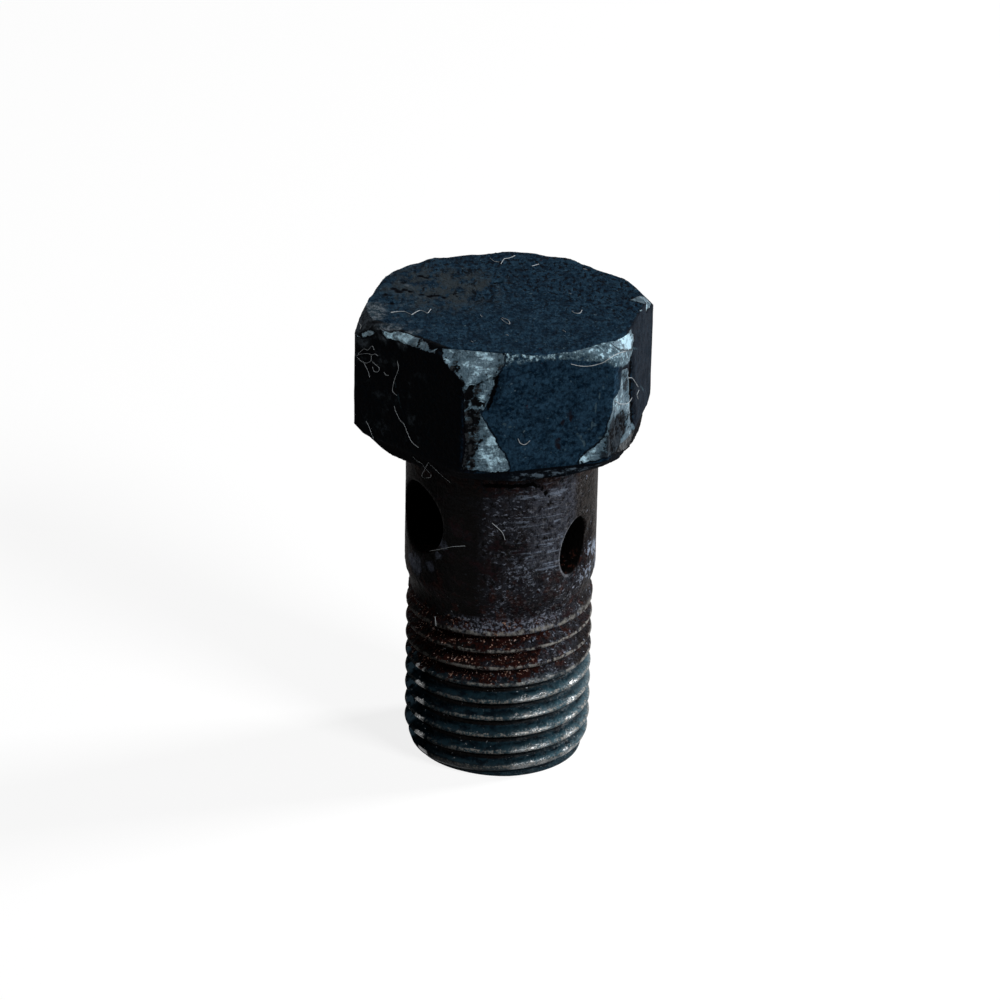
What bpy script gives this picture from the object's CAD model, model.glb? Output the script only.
"""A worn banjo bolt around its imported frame: painted head, rusty neck, oily thread, lint, and a plain stage.

Pieces are shaped in millimetres, with the tip's centre at the origin and +Z towards the head, and turned into
metres once they are finished. Places on the head's sides are given unrolled, as (along, up): the distance along
the hexagon from its front left corner, rightwards over the front face, and the height.
"""

from math import atan2, ceil, cos, floor, hypot, pi, radians, sin, sqrt, tan

import bmesh
import bpy
from bpy.props import FloatProperty, FloatVectorProperty, IntProperty, PointerProperty
from mathutils import Matrix, Vector, noise
from mathutils.bvhtree import BVHTree


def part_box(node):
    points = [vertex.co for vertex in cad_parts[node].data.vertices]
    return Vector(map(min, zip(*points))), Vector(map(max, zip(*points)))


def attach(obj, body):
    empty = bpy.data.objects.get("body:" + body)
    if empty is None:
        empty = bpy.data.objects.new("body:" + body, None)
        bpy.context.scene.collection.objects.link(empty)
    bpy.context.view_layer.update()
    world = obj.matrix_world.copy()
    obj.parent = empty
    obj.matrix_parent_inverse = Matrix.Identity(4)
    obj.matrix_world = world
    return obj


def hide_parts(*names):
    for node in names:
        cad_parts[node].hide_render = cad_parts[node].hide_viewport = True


bl_info = {
    "name": "Worn banjo bolt",
    "version": (1, 0, 0),
    "blender": (4, 5, 0),
    "location": "3D View > Sidebar > Banjo Bolt",
    "description": "Builds a worn hexagon-head banjo bolt, the lint on it and the stage that it stands on",
    "category": "Object",
}

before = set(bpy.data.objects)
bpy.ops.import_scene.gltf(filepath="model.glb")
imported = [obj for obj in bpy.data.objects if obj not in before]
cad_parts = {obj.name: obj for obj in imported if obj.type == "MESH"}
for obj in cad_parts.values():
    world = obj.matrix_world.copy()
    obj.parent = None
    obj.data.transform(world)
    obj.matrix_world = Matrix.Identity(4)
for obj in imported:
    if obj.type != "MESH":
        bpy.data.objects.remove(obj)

mm = 0.001
head_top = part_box("banjo_bolt")[1].z / mm
head_height = 7.0
head_bottom = head_top - head_height
head_turn = radians(-43.1)


# ------------------------------------------------------------------------------------------ sizes and settings

def length(name, description, value_mm):
    return FloatProperty(name=name, description=description, default=value_mm * mm, unit="LENGTH", precision=5)


def colour(name, description, value):
    return FloatVectorProperty(name=name, description=description, default=value, size=3, min=0, max=1,
                               subtype="COLOR")


class BoltSizes(bpy.types.PropertyGroup):
    """Sizes of the bolt"""
    thread_radius: length("Thread radius", "Radius at the thread's crests", 5.0)
    thread_pitch: length("Thread pitch", "Distance from crest to crest", 1.0)
    thread_depth: length("Thread depth", "Depth of the groove below the crests", 0.61)
    across_flats: length("Across flats", "Width of the hexagon across two flats", 14.1)
    bore_radius: length("Bore radius", "Radius of the fluid bore up the axis", 2.5)
    grid: length("Head grid", "Spacing of the fine grid that the head is sliced into", 0.19)
    turn_steps: IntProperty(name="Steps per turn", description="Facets round the shank and thread",
                            default=160, min=24)
    lint_thickness: length("Lint thickness", "Thickness of a fibre of lint", 0.034)


class FinishColours(bpy.types.PropertyGroup):
    """Colours of the bolt's finishes"""
    paint: colour("Paint", "Blue-black paint of the head", (0.0012, 0.0072, 0.0165))
    paint_dusty: colour("Dusty paint", "Paint where dust lies in its grain", (0.0125, 0.032, 0.054))
    dirt: colour("Dirt", "Brown dirt on the head's top", (0.027, 0.033, 0.036))
    steel: colour("Bare steel", "Steel where the paint has gone", (0.046, 0.084, 0.112))
    steel_bright: colour("Bright steel", "Rubbed spots of the bare steel", (0.34, 0.52, 0.62))
    steel_dull: colour("Dull steel", "Brown film on bare steel", (0.0135, 0.0158, 0.0182))
    shank_steel: colour("Shank steel", "Darkened steel of the shank", (0.006, 0.0062, 0.0085))
    shank_brown: colour("Shank brown", "Brown film on the shank", (0.0058, 0.0038, 0.0034))
    rust: colour("Rust", "Red-brown rust", (0.018, 0.0054, 0.0043))
    rust_bright: colour("Bright rust", "Orange grains in the rust", (0.42, 0.25, 0.185))
    polished: colour("Polished shank", "Bluer steel on the shank's rubbed side", (0.04, 0.044, 0.056))
    thread_steel: colour("Thread steel", "Oily blue-black steel of the thread", (0.007, 0.019, 0.027))
    crest_steel: colour("Crest steel", "Rubbed steel on the upper crests", (0.16, 0.156, 0.146))
    crest_thread: colour("Crest of thread", "Rubbed steel on the lower crests", (0.022, 0.043, 0.052))
    lint: colour("Lint", "Pale fibres caught on the bolt", (0.34, 0.37, 0.39))


def lamp_size(name, side, size):
    return FloatProperty(name=name, description=f"Width of the lamp at the {side}", default=size, unit="LENGTH")


def lamp_light(name, side, light):
    return FloatProperty(name=name, description=f"Light of the lamp at the {side}", default=light, min=0,
                         subtype="FACTOR", soft_max=10)


class StageLight(bpy.types.PropertyGroup):
    """Lamps and surroundings"""
    lamp_distance: FloatProperty(name="Lamp distance", description="Distance from the bolt to each lamp", default=0.5,
                                 unit="LENGTH")
    front_size: lamp_size("Front size", "front right", 0.15)
    right_size: lamp_size("Right size", "right", 0.11)
    left_size: lamp_size("Left size", "back left", 0.05)
    front_light: lamp_light("Front light", "front right", 2.97)
    right_light: lamp_light("Right light", "right", 3.34)
    left_light: lamp_light("Left light", "back left", 0.3)
    ambient: FloatProperty(name="Ambient", description="Strength of the surroundings as light", default=0.02, min=0,
                           subtype="FACTOR")


# ------------------------------------------------------------------------------------------ mesh helpers

def all_geometry(bm):
    return bm.verts[:] + bm.edges[:] + bm.faces[:]


def only(kind, parts):
    return [part for part in parts if isinstance(part, kind)]


def mesh_object(name, bm):
    mesh = bpy.data.meshes.new(name)
    bm.to_mesh(mesh)
    bm.free()
    piece = bpy.data.objects.new(name, mesh)
    bpy.context.scene.collection.objects.link(piece)
    return piece


def combined(base, tool, operation):
    """The base after a Boolean operation with the tool, which are both used up."""
    base_object = mesh_object("base", base)
    tool_object = mesh_object("tool", tool)
    modifier = base_object.modifiers.new("combine", "BOOLEAN")
    modifier.operation = operation
    modifier.solver = "EXACT"
    modifier.object = tool_object
    finished = base_object.evaluated_get(bpy.context.evaluated_depsgraph_get())
    bm = bmesh.new()
    bm.from_mesh(finished.to_mesh())
    finished.to_mesh_clear()
    for used in (base_object, tool_object):
        mesh = used.data
        bpy.data.objects.remove(used)
        bpy.data.meshes.remove(mesh)
    return bm


def shift_points(bm, moves):
    for vert, move in zip(bm.verts, moves):
        vert.co += move


def spun(profile, steps, rise=0):
    """Skin swept by a profile of (radius, height) points in one turn about the axis."""
    bm = bmesh.new()
    points = [bm.verts.new((radius, 0, height)) for radius, height in profile]
    edges = [bm.edges.new(pair) for pair in zip(points, points[1:])]
    bmesh.ops.spin(bm, geom=points + edges, cent=(0, 0, 0), axis=(0, 0, 1), dvec=(0, 0, rise / steps),
                   angle=2 * pi, steps=steps, use_merge=rise == 0, use_duplicate=False)
    return bm


def share_of(low, high, value):
    """How far the value has gone from low to high, from 0 to 1."""
    return min(max((value - low) / (high - low), 0), 1)


def smooth_share(low, high, value):
    share = share_of(low, high, value)
    return share * share * (3 - 2 * share)


def grain(place, size, seed):
    """Noise between about -1 and 1 with features of this size in millimetres."""
    return noise.noise(place / size + Vector((seed, 2.3 * seed, -1.7 * seed)))


def around(turn):
    return Vector((cos(turn), sin(turn), 0))


# ------------------------------------------------------------------------------------------ the turned end

crest_level = 0.9  # height of a crest at no turn
crest_half = 0.09  # half the width of a crest's land, and of the groove's flat root
root_half = 0.085
crest_rounding = 0.05
runout_end = 9.4
row_offsets = (-0.42, -0.31, -0.19, -0.09, -0.04, 0, 0.04, 0.09, 0.19, 0.31, 0.42, 0.5, 0.58)
tip_radius, taper_rise, taper_top = 4.55, 0.45, 1.2
neck_depth, neck_levels = 0.2, (9.2, 9.4)
shank_rise, shank_levels = 0.3, (9.6, 10.9)
mouth_radius, mouth_depth = 3.0, 0.5
bore_end, drill_point = 16.5, 18


def blank_radius(height):
    """Radius of the turned blank: blunt taper, thread, neck and shank."""
    taper = tip_radius + taper_rise * min(height / taper_top, 1)
    neck = neck_depth * smooth_share(*neck_levels, height)
    shank = shank_rise * smooth_share(*shank_levels, height)
    return taper - neck + shank


def thread_cut(turn, height, pitch, depth):
    """Depth of the thread's groove at this place, measured from its crests."""
    phase = (height - crest_level) / pitch - turn / (2 * pi)
    from_crest = abs((phase + 0.5) % 1 - 0.5) * pitch
    flank = pitch / 2 - crest_half - root_half
    into_groove = share_of(crest_half, crest_half + flank, from_crest)
    groove_level = height + (0.5 - phase % 1) * pitch
    fading = share_of(0, pitch, runout_end - groove_level)
    rounding = crest_rounding * smooth_share(0, crest_half + 0.03, from_crest)
    return (depth - crest_rounding) * into_groove * fading + rounding * fading


def turned_end(sizes):
    """Threaded tip, neck and shank as one skin whose rows climb with the thread, closed by the bore and a cap."""
    pitch, depth, crest = sizes.thread_pitch / mm, sizes.thread_depth / mm, sizes.thread_radius / mm
    inside_head = head_bottom + 0.8
    bm = spun([(crest, crest_level + (offset - 3) * pitch) for offset in row_offsets], sizes.turn_steps, pitch)
    ribbon = all_geometry(bm)
    for turn in range(1, ceil(inside_head / pitch) + 3):
        copy = bmesh.ops.duplicate(bm, geom=ribbon)["geom"]
        bmesh.ops.translate(bm, verts=only(bmesh.types.BMVert, copy), vec=(0, 0, turn * pitch))
    bmesh.ops.remove_doubles(bm, verts=bm.verts, dist=0.002)
    for level, keep_above in ((0, True), (inside_head, False)):
        bmesh.ops.bisect_plane(bm, geom=all_geometry(bm), dist=0.001, plane_co=(0, 0, level), plane_no=(0, 0, 1),
                               clear_inner=keep_above, clear_outer=not keep_above)
    for vert in bm.verts:
        turn = atan2(vert.co.y, vert.co.x)
        radius = blank_radius(vert.co.z)
        if vert.co.z < runout_end + 0.5:
            radius = min(radius, crest - thread_cut(turn, vert.co.z, pitch, depth))
        vert.co = around(turn) * radius + Vector((0, 0, vert.co.z))
    open_edges = [edge for edge in bm.edges if edge.is_boundary]
    bmesh.ops.holes_fill(bm, edges=[edge for edge in open_edges if edge.verts[0].co.z > 1], sides=0)
    bored_out(bm, [edge for edge in open_edges if edge.verts[0].co.z < 1], sizes.bore_radius / mm)
    bmesh.ops.recalc_face_normals(bm, faces=bm.faces)
    return bm


def bored_out(bm, rim, bore):
    """Draws the tip's open rim in over its end face and up the bore to the drill's point."""
    for radius, height in ((mouth_radius, 0), (bore, mouth_depth), (bore, 5), (bore, 10), (bore, bore_end),
                           (0.01, drill_point)):
        made = bmesh.ops.extrude_edge_only(bm, edges=rim)["geom"]
        rim = only(bmesh.types.BMEdge, made)
        verts = only(bmesh.types.BMVert, made)
        for vert in verts:
            share = radius / hypot(vert.co.x, vert.co.y)
            vert.co = (vert.co.x * share, vert.co.y * share, height)
    bmesh.ops.pointmerge(bm, verts=verts, merge_co=(0, 0, drill_point))


# ------------------------------------------------------------------------------------------ the head

first_corner = head_turn - pi / 3
chamfer_slope = tan(radians(46.5))
barrel_steps = 360
top_circle, bottom_circle = 7.3, 7.175  # radii where the chamfers meet the end faces
worn_corners = ((0, 0.15, 0.6, 2.4), (5, 0.3, 0.3, 2.0))  # corner, then how far the facet reaches along each side
struck_corner = {"turn": radians(-99.2), "edge_distance": 6.48, "corner_distance": 8.03, "corner_level": 24.32}


def unrolled(place, apothem):
    """Distance along the hexagon from its front left corner for a place on or near its sides."""
    turn = atan2(place.y, place.x) - first_corner
    turn -= 2 * pi * floor(turn / (2 * pi) + 0.5)
    side = floor(turn / (pi / 3))
    width = 2 * apothem * tan(pi / 6)
    return (side + 0.5) * width + apothem * tan(turn - (side + 0.5) * pi / 3)


def cut_away(bm, point, outward):
    """Cuts off what lies outside a plane and closes the cut."""
    cut = bmesh.ops.bisect_plane(bm, geom=all_geometry(bm), dist=0.0001, plane_co=point, plane_no=outward,
                                 clear_outer=True)["geom_cut"]
    bmesh.ops.holes_fill(bm, edges=only(bmesh.types.BMEdge, cut), sides=0)


def wear_corner(bm, corner, before_top, before_bottom, after, reach):
    """Takes the shallow facet off a corner that a wrench slipped on."""
    turn = head_turn + corner * pi / 3
    point = around(turn) * reach
    high = point + around(turn - 2 * pi / 3) * before_top + Vector((0, 0, head_top))
    low = point + around(turn - 2 * pi / 3) * before_bottom + Vector((0, 0, head_bottom))
    beyond = point + around(turn + 2 * pi / 3) * after + Vector((0, 0, (head_top + head_bottom) / 2))
    outward = (beyond - low).cross(high - low).normalized()
    cut_away(bm, low, outward if outward.dot(point) > 0 else -outward)


def strike_corner(bm, turn, edge_distance, corner_distance, corner_level):
    """Takes the flat that a blow left on a top corner: from the top face down to the corner's edge."""
    inner = around(turn) * edge_distance + Vector((0, 0, head_top))
    outer = around(turn) * corner_distance + Vector((0, 0, corner_level))
    outward = (outer - inner).cross(around(turn + pi / 2)).normalized()
    cut_away(bm, inner, outward if outward.z > 0 else -outward)


def head_blank(sizes):
    """Hexagon head with its corners turned off, worn and struck, sliced into a fine even grid."""
    reach = sizes.across_flats / mm / 2 / cos(pi / 6)
    bm = bmesh.new()
    bmesh.ops.create_circle(bm, cap_ends=True, segments=6, radius=reach,
                            matrix=Matrix.Translation((0, 0, head_bottom))
                            @ Matrix.Rotation(head_turn - pi / 2, 4, "Z"))
    made = bmesh.ops.extrude_face_region(bm, geom=bm.faces[:])["geom"]
    bmesh.ops.translate(bm, verts=only(bmesh.types.BMVert, made), vec=(0, 0, head_height))
    bmesh.ops.recalc_face_normals(bm, faces=bm.faces)
    for corner in worn_corners:
        wear_corner(bm, *corner, reach)
    wide = reach * 1.1
    barrel = spun(((0, head_bottom), (bottom_circle, head_bottom),
                   (wide, head_bottom + (wide - bottom_circle) * chamfer_slope),
                   (wide, head_top - (wide - top_circle) * chamfer_slope),
                   (top_circle, head_top), (0, head_top)), barrel_steps)
    bmesh.ops.remove_doubles(barrel, verts=barrel.verts, dist=0.0001)
    bmesh.ops.recalc_face_normals(barrel, faces=barrel.faces)
    bm = combined(bm, barrel, "INTERSECT")
    strike_corner(bm, **struck_corner)
    grid = sizes.grid / mm
    front = head_turn - pi / 6
    for direction, low, high in ((around(front), -reach, reach), (around(front + pi / 2), -reach, reach),
                                 (Vector((0, 0, 1)), head_bottom, head_top)):
        for step in range(ceil((high - low) / grid)):
            bmesh.ops.bisect_plane(bm, geom=all_geometry(bm), dist=0.001, plane_no=direction,
                                   plane_co=direction * (low + (step + 0.63) * grid))
    soften_edges(bm)
    return bm


def soften_edges(bm):
    """Rounds the sharp edges a little, as paint does."""
    near = {vert for edge in bm.edges if edge.is_manifold and edge.calc_face_angle() > 0.2 for vert in edge.verts}
    for repeat in range(2):
        near |= {edge.other_vert(vert) for vert in near for edge in vert.link_edges} if repeat else set()
        bmesh.ops.smooth_vert(bm, verts=list(near), factor=0.35, use_axis_x=True, use_axis_y=True, use_axis_z=True)


# ------------------------------------------------------------------------------------------ wear on the head

# outlines and lines on the sides as (along, up) and on the top as (x, y)
bare_outlines = {
    "left corner, struck and worn": (
        (-2.2, 25.6), (1.6, 25.6), (1.94, 25.4), (1.89, 25.08), (1.66, 24.7), (1.51, 24.2), (1.36, 23.6),
        (1.15, 23.1), (1.0, 22.74), (0.75, 22.84), (0.7, 22.3), (0.95, 22.0), (1.24, 21.55), (1.52, 21.1),
        (1.75, 20.5), (2.02, 20.2), (2.21, 19.8), (2.33, 19.4), (2.3, 19.12), (1.28, 19.17), (0.45, 19.33),
        (-0.34, 19.4), (-0.14, 20.5), (-0.2, 22.6), (-0.3, 23.6), (-0.45, 24.2), (-0.74, 24.5), (-1.24, 24.73),
        (-1.6, 24.92), (-1.9, 25.2)),
    "right corner, top": (
        (8.3, 25.6), (10.5, 25.6), (11.1, 25.05), (11.56, 24.5), (10.98, 24.24), (9.44, 24.8), (8.63, 25.12)),
    "right corner, worn": (
        (9.17, 23.78), (9.86, 23.63), (10.54, 23.07), (10.69, 22.05), (11.09, 21.03), (11.62, 19.96),
        (12.5, 19.5), (12.28, 18.9), (11.56, 18.6), (10.75, 18.6), (8.95, 19.08), (7.46, 19.4), (6.02, 19.12),
        (6.17, 19.56), (6.75, 20.0), (7.38, 20.47), (7.5, 20.9), (7.6, 21.4), (7.98, 22.1), (7.97, 22.52),
        (8.63, 22.56), (9.06, 22.85), (9.11, 23.35)),
    "left face, chipped top edge": (
        (-6.42, 25.2), (-5.77, 25.6), (-2.3, 25.6), (-2.4, 25.27), (-3.74, 25.18), (-4.5, 25.16), (-5.83, 25.04)),
    "left face, far end": (
        (-7.94, 24.48), (-7.58, 24.79), (-7.0, 25.15), (-6.6, 25.15), (-6.85, 24.87), (-7.5, 24.53)),
    "back right corner": ((14.4, 24.9), (14.8, 25.5), (15.9, 25.4), (15.6, 24.8)),
}
top_outlines = {
    "left edge, chipped": ((-5.7, -3.9), (-5.18, -4.19), (-4.76, -4.57), (-4.34, -4.94), (-3.97, -5.38), (-3.7, -6.0),
                           (-3.9, -6.6), (-7.0, -4.3), (-6.4, -3.6)),
    "right edge, chips": ((6.5, 0.8), (7.04, 1.5), (7.6, 1.2), (7.6, 0.2), (7.1, 0.4)),
    "right edge, small chip": ((6.95, -0.35), (7.5, -0.3), (7.5, -0.6), (7.0, -0.55)),
}
top_rubbed_outline = ((0.3, -7.0), (2.2, -6.75), (3.33, -6.36), (3.95, -5.93), (4.46, -5.44), (5.03, -5.02),
                      (5.54, -4.73), (6.2, -4.6), (6.2, -6.0), (0.3, -8.0))
rubbed_outline = (
    (1.9, 25.6), (8.42, 25.6), (10.9, 25.4), (11.2, 24.1), (10.32, 23.78), (9.3, 23.93), (7.85, 24.45), (7.2, 24.76),
    (6.6, 24.88), (5.42, 25.08), (3.83, 25.15), (2.0, 25.0))
# half the width that a crack's line adds, and the line
cracks = (
    (0.0, ((1.62, 24.45), (1.52, 24.2), (1.57, 23.95), (1.4, 23.7), (1.42, 23.4), (1.25, 23.2), (1.27, 22.95),
           (1.11, 22.68))),
    (-0.04, ((0.1, 23.9), (0.35, 23.95), (0.62, 24.0), (0.8, 24.15), (1.1, 24.22), (1.35, 24.4))),
    (0.36, ((10.98, 23.35), (11.15, 22.9), (11.3, 22.2), (11.5, 21.5))),
    (0.24, ((11.6, 20.95), (11.75, 20.6), (11.85, 20.2), (12.2, 19.7))),
)
# spots of lighter (positive) or duller steel: the place, the size and how much
corner_tones = (
    (0.3, 25.0, 0.7, 0.35), (1.0, 25.1, 0.5, 0.3), (-1.1, 24.75, 0.4, -0.7), (-0.5, 24.2, 0.35, -1.0),
    (1.15, 24.5, 0.22, 0.8), (1.6, 24.85, 0.3, -0.5), (0.85, 23.7, 0.32, 0.5), (0.8, 23.4, 0.25, 0.4),
    (-0.2, 23.6, 0.35, -1.2), (0.55, 23.75, 0.3, -0.9), (1.25, 23.5, 0.25, -0.5), (1.1, 22.95, 0.28, -0.6),
    (0.1, 22.35, 0.45, -1.3), (0.1, 21.6, 0.6, -1.3), (0.1, 20.8, 0.6, -1.2),
    (0.1, 20.0, 0.6, -1.2), (0.1, 19.5, 0.5, -0.9), (1.0, 21.7, 0.35, 0.3), (1.35, 20.9, 0.4, 1.0),
    (1.2, 20.0, 0.5, 0.4), (1.8, 19.6, 0.5, 0.35), (0.5, 22.5, 0.35, -0.6),
    (9.8, 25.15, 0.9, 0.75), (10.6, 24.7, 0.6, 0.65), (9.6, 23.3, 0.5, -0.6), (10.1, 22.6, 0.45, -0.5),
    (9.3, 21.7, 0.8, 0.15), (10.3, 21.5, 0.5, -0.15), (8.4, 20.5, 1.1, -1.5), (9.7, 20.3, 1.0, -1.6),
    (10.9, 19.8, 0.7, -0.7), (11.9, 19.3, 0.6, -0.2), (9.0, 19.3, 1.0, -1.0), (7.5, 19.6, 0.6, -0.6),
    (6.25, 19.35, 0.35, 0.7),
    (5.45, 22.05, 0.22, -2.0), (5.57, 21.8, 0.2, -2.0), (5.12, 21.6, 0.18, -2.0), (4.9, 20.6, 0.2, -2.0),
    (4.92, 20.25, 0.2, -2.0), (-5.85, 25.3, 0.5, 0.6), (-4.7, 25.3, 0.6, 0.95), (-3.8, 25.3, 0.6, -0.15),
    (-3.0, 25.3, 0.6, -0.2), (-7.3, 24.8, 0.5, 0.2),
    (-8.2, 24.9, 1.3, 0.7), (-9.6, 25.0, 1.2, 0.6), (-6.6, 25.2, 0.7, 0.5))
# the same on the shank, with places as (turn in degrees, height)
shank_tones = (
    (-126, 13.45, 0.45, 0.5), (-130, 12.7, 0.4, 0.45), (-136, 11.9, 0.5, 0.55), (-150, 11.5, 0.9, 0.5),
    (-160, 11.6, 0.6, 0.4), (-21, 12.4, 0.6, 0.8), (-12, 12.2, 0.6, 0.9), (-8, 11.2, 0.6, 0.8), (-22, 11.1, 0.7, 0.6),
    (-33, 11.3, 0.7, 0.5), (-80, 12.6, 0.9, 0.3), (-74, 11.9, 0.8, 0.3), (-90, 13.6, 0.9, -0.9),
    (-97, 12.3, 0.8, -0.5), (-62, 16.6, 1.0, 0.2), (-35, 16.8, 1.2, 0.1))
# pits as a place and a size
struck_pits = (
    (0.0, 23.45, 0.55), (0.15, 23.85, 0.34), (0.4, 23.12, 0.42), (0.8, 23.0, 0.3), (-0.1, 22.9, 0.3),
    (0.3, 21.55, 0.25), (0.2, 21.0, 0.2), (0.75, 20.95, 0.22), (0.22, 20.1, 0.24), (0.5, 20.5, 0.16),
    (9.0, 20.9, 0.3), (9.8, 20.6, 0.35), (9.3, 20.2, 0.3), (10.5, 20.2, 0.3), (8.6, 19.6, 0.3), (10.2, 19.3, 0.35))
scratches = (((7.43, 24.02), (7.24, 23.37), (6.89, 22.4), (6.71, 21.3)), ((6.5, 21.04), (7.03, 21.38)),
             ((7.0, 20.59), (7.49, 20.43)), ((5.9, 20.9), (6.3, 20.4), (6.35, 20.1)), ((1.9, 21.9), (2.4, 21.6)),
             ((-5.2, 22.9), (-4.7, 21.5)), ((11.2, 24.2), (12.6, 23.6)), ((13.4, 21.2), (14.4, 20.5)))
shank_cracks = (((-100.0, 17.33), (-88.0, 17.36), (-80.0, 17.32), (-74.4, 17.34), (-71.0, 17.36), (-68.4, 17.2),
                 (-66.3, 17.12), (-64.4, 16.88), (-62.6, 16.75), (-60.9, 16.5)),)
top_slot = ((-0.76, 2.88), (-0.26, 3.05))
top_pits = ((-5.87, 1.75, 0.32), (-5.6, 1.35, 0.36), (-5.3, 1.6, 0.26), (-5.0, 1.38, 0.24), (-4.55, 3.6, 0.28),
            (-4.2, 3.4, 0.26), (-4.4, 1.0, 0.24), (-3.96, 0.78, 0.3), (-3.6, 0.92, 0.24), (-3.2, 0.66, 0.22),
            (-5.9, -0.3, 0.24), (-6.3, 0.9, 0.25), (-5.4, 2.6, 0.22))


shank_radius = 5.1
shank_spots = [(shank_radius * radians(turn), height, size, amount) for turn, height, size, amount in shank_tones]
shank_lines = [[(shank_radius * radians(turn), height) for turn, height in line] for line in shank_cracks]
marks_bottom, outside_bore, outer_head = 10, 4.7, 5.5  # lowest height and least radii that carry marks
unmarked = {"bare": -1, "rubbed": -1, "crack": 1, "pit": 0, "tone": 0, "scratch": 1, "mouth": 1}


def to_segment(point, start, end):
    """Distance from a flat point to a straight stretch."""
    along = end - start
    share = min(max((point - start).dot(along) / along.length_squared, 0), 1)
    return (point - start - along * share).length


def to_line(point, corners):
    return min(to_segment(point, Vector(start), Vector(end)) for start, end in zip(corners, corners[1:]))


def inside_by(point, outline):
    """Distance inside a closed outline, negative outside it."""
    inside = False
    for (ax, ay), (bx, by) in zip(outline, outline[1:] + outline[:1]):
        if (ay > point.y) != (by > point.y) and point.x < ax + (bx - ax) * (point.y - ay) / (by - ay):
            inside = not inside
    distance = to_line(point, outline + outline[:1])
    return distance if inside else -distance


def tone_at(place, spots):
    """Lighter (positive) or duller (negative) steel at a flat place, from its spots."""
    tone = 0
    for x, y, size, amount in spots:
        tone += amount * smooth_share(1.25 * size, 0.25 * size, hypot(place.x - x, place.y - y))
    return min(max(tone, -1), 1)


def deepest_inside(spot, outlines):
    return max(max(inside_by(spot, outline) for outline in outlines), -1)


def nearest(spot, lines):
    return min(min(to_line(spot, line) for line in lines), 1)


def deepest_pit(spot, pits):
    return max(max(0.0, 1 - hypot(spot.x - x, spot.y - y) / size) for x, y, size in pits)


def marks_on_shank(place):
    spot = Vector((shank_radius * atan2(place.y, place.x), place.z))
    return {"tone": tone_at(spot, shank_spots), "crack": nearest(spot, shank_lines),
            "mouth": min(from_hole(place, right_hole)[0], 1)}


def marks_on_head(place, apothem):
    flat = Vector((place.x, place.y))
    spot = Vector((unrolled(place, apothem), place.z))
    on_top = place.z > head_top - 0.03
    marks = {}
    if -11.5 < spot.x < 17:
        marks["tone"] = tone_at(spot, corner_tones) * (smooth_share(5.6, 6.9, flat.length) if on_top else 1)
    if on_top:
        marks.update(bare=deepest_inside(flat, top_outlines.values()),
                     rubbed=deepest_inside(flat, [top_rubbed_outline]),
                     crack=to_line(flat, top_slot), pit=deepest_pit(flat, top_pits))
    elif -9 < spot.x < 17:
        marks.update(bare=deepest_inside(spot, bare_outlines.values()), rubbed=deepest_inside(spot, [rubbed_outline]),
                     crack=min(min(to_line(spot, line) - width for width, line in cracks), 1),
                     scratch=nearest(spot, scratches), pit=deepest_pit(spot, struck_pits))
    return marks


def wear_marks(bm, apothem):
    """Stores on each point how far it lies inside bare and rubbed areas, and how near it is to cracks and pits."""
    layers = {name: bm.verts.layers.float.new(name) for name in unmarked}
    for vert in bm.verts:
        marks = {}
        from_axis = hypot(vert.co.x, vert.co.y)
        if vert.co.z >= head_top - 0.3 or vert.co.z >= head_bottom - 0.01 and from_axis >= outer_head:
            marks = marks_on_head(vert.co, apothem)
        elif marks_bottom < vert.co.z < head_bottom - 0.01 and from_axis > outside_bore:
            marks = marks_on_shank(vert.co)
        for name, value in {**unmarked, **marks}.items():
            vert[layers[name]] = value


rim_top, rim_depth = 19.12, 0.13
paint_depth = 0.05
crack_depth, pit_depth = 0.2, 0.16
top_crack_depth, top_pit_depth = 0.16, 0.08
chipped_edge = (-6.4, -2.2)  # from where to where along the left face, how far in and from which height it is chipped
chip_start, chip_slope, chip_bottom = 6.62, 0.72, 24.6


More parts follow.
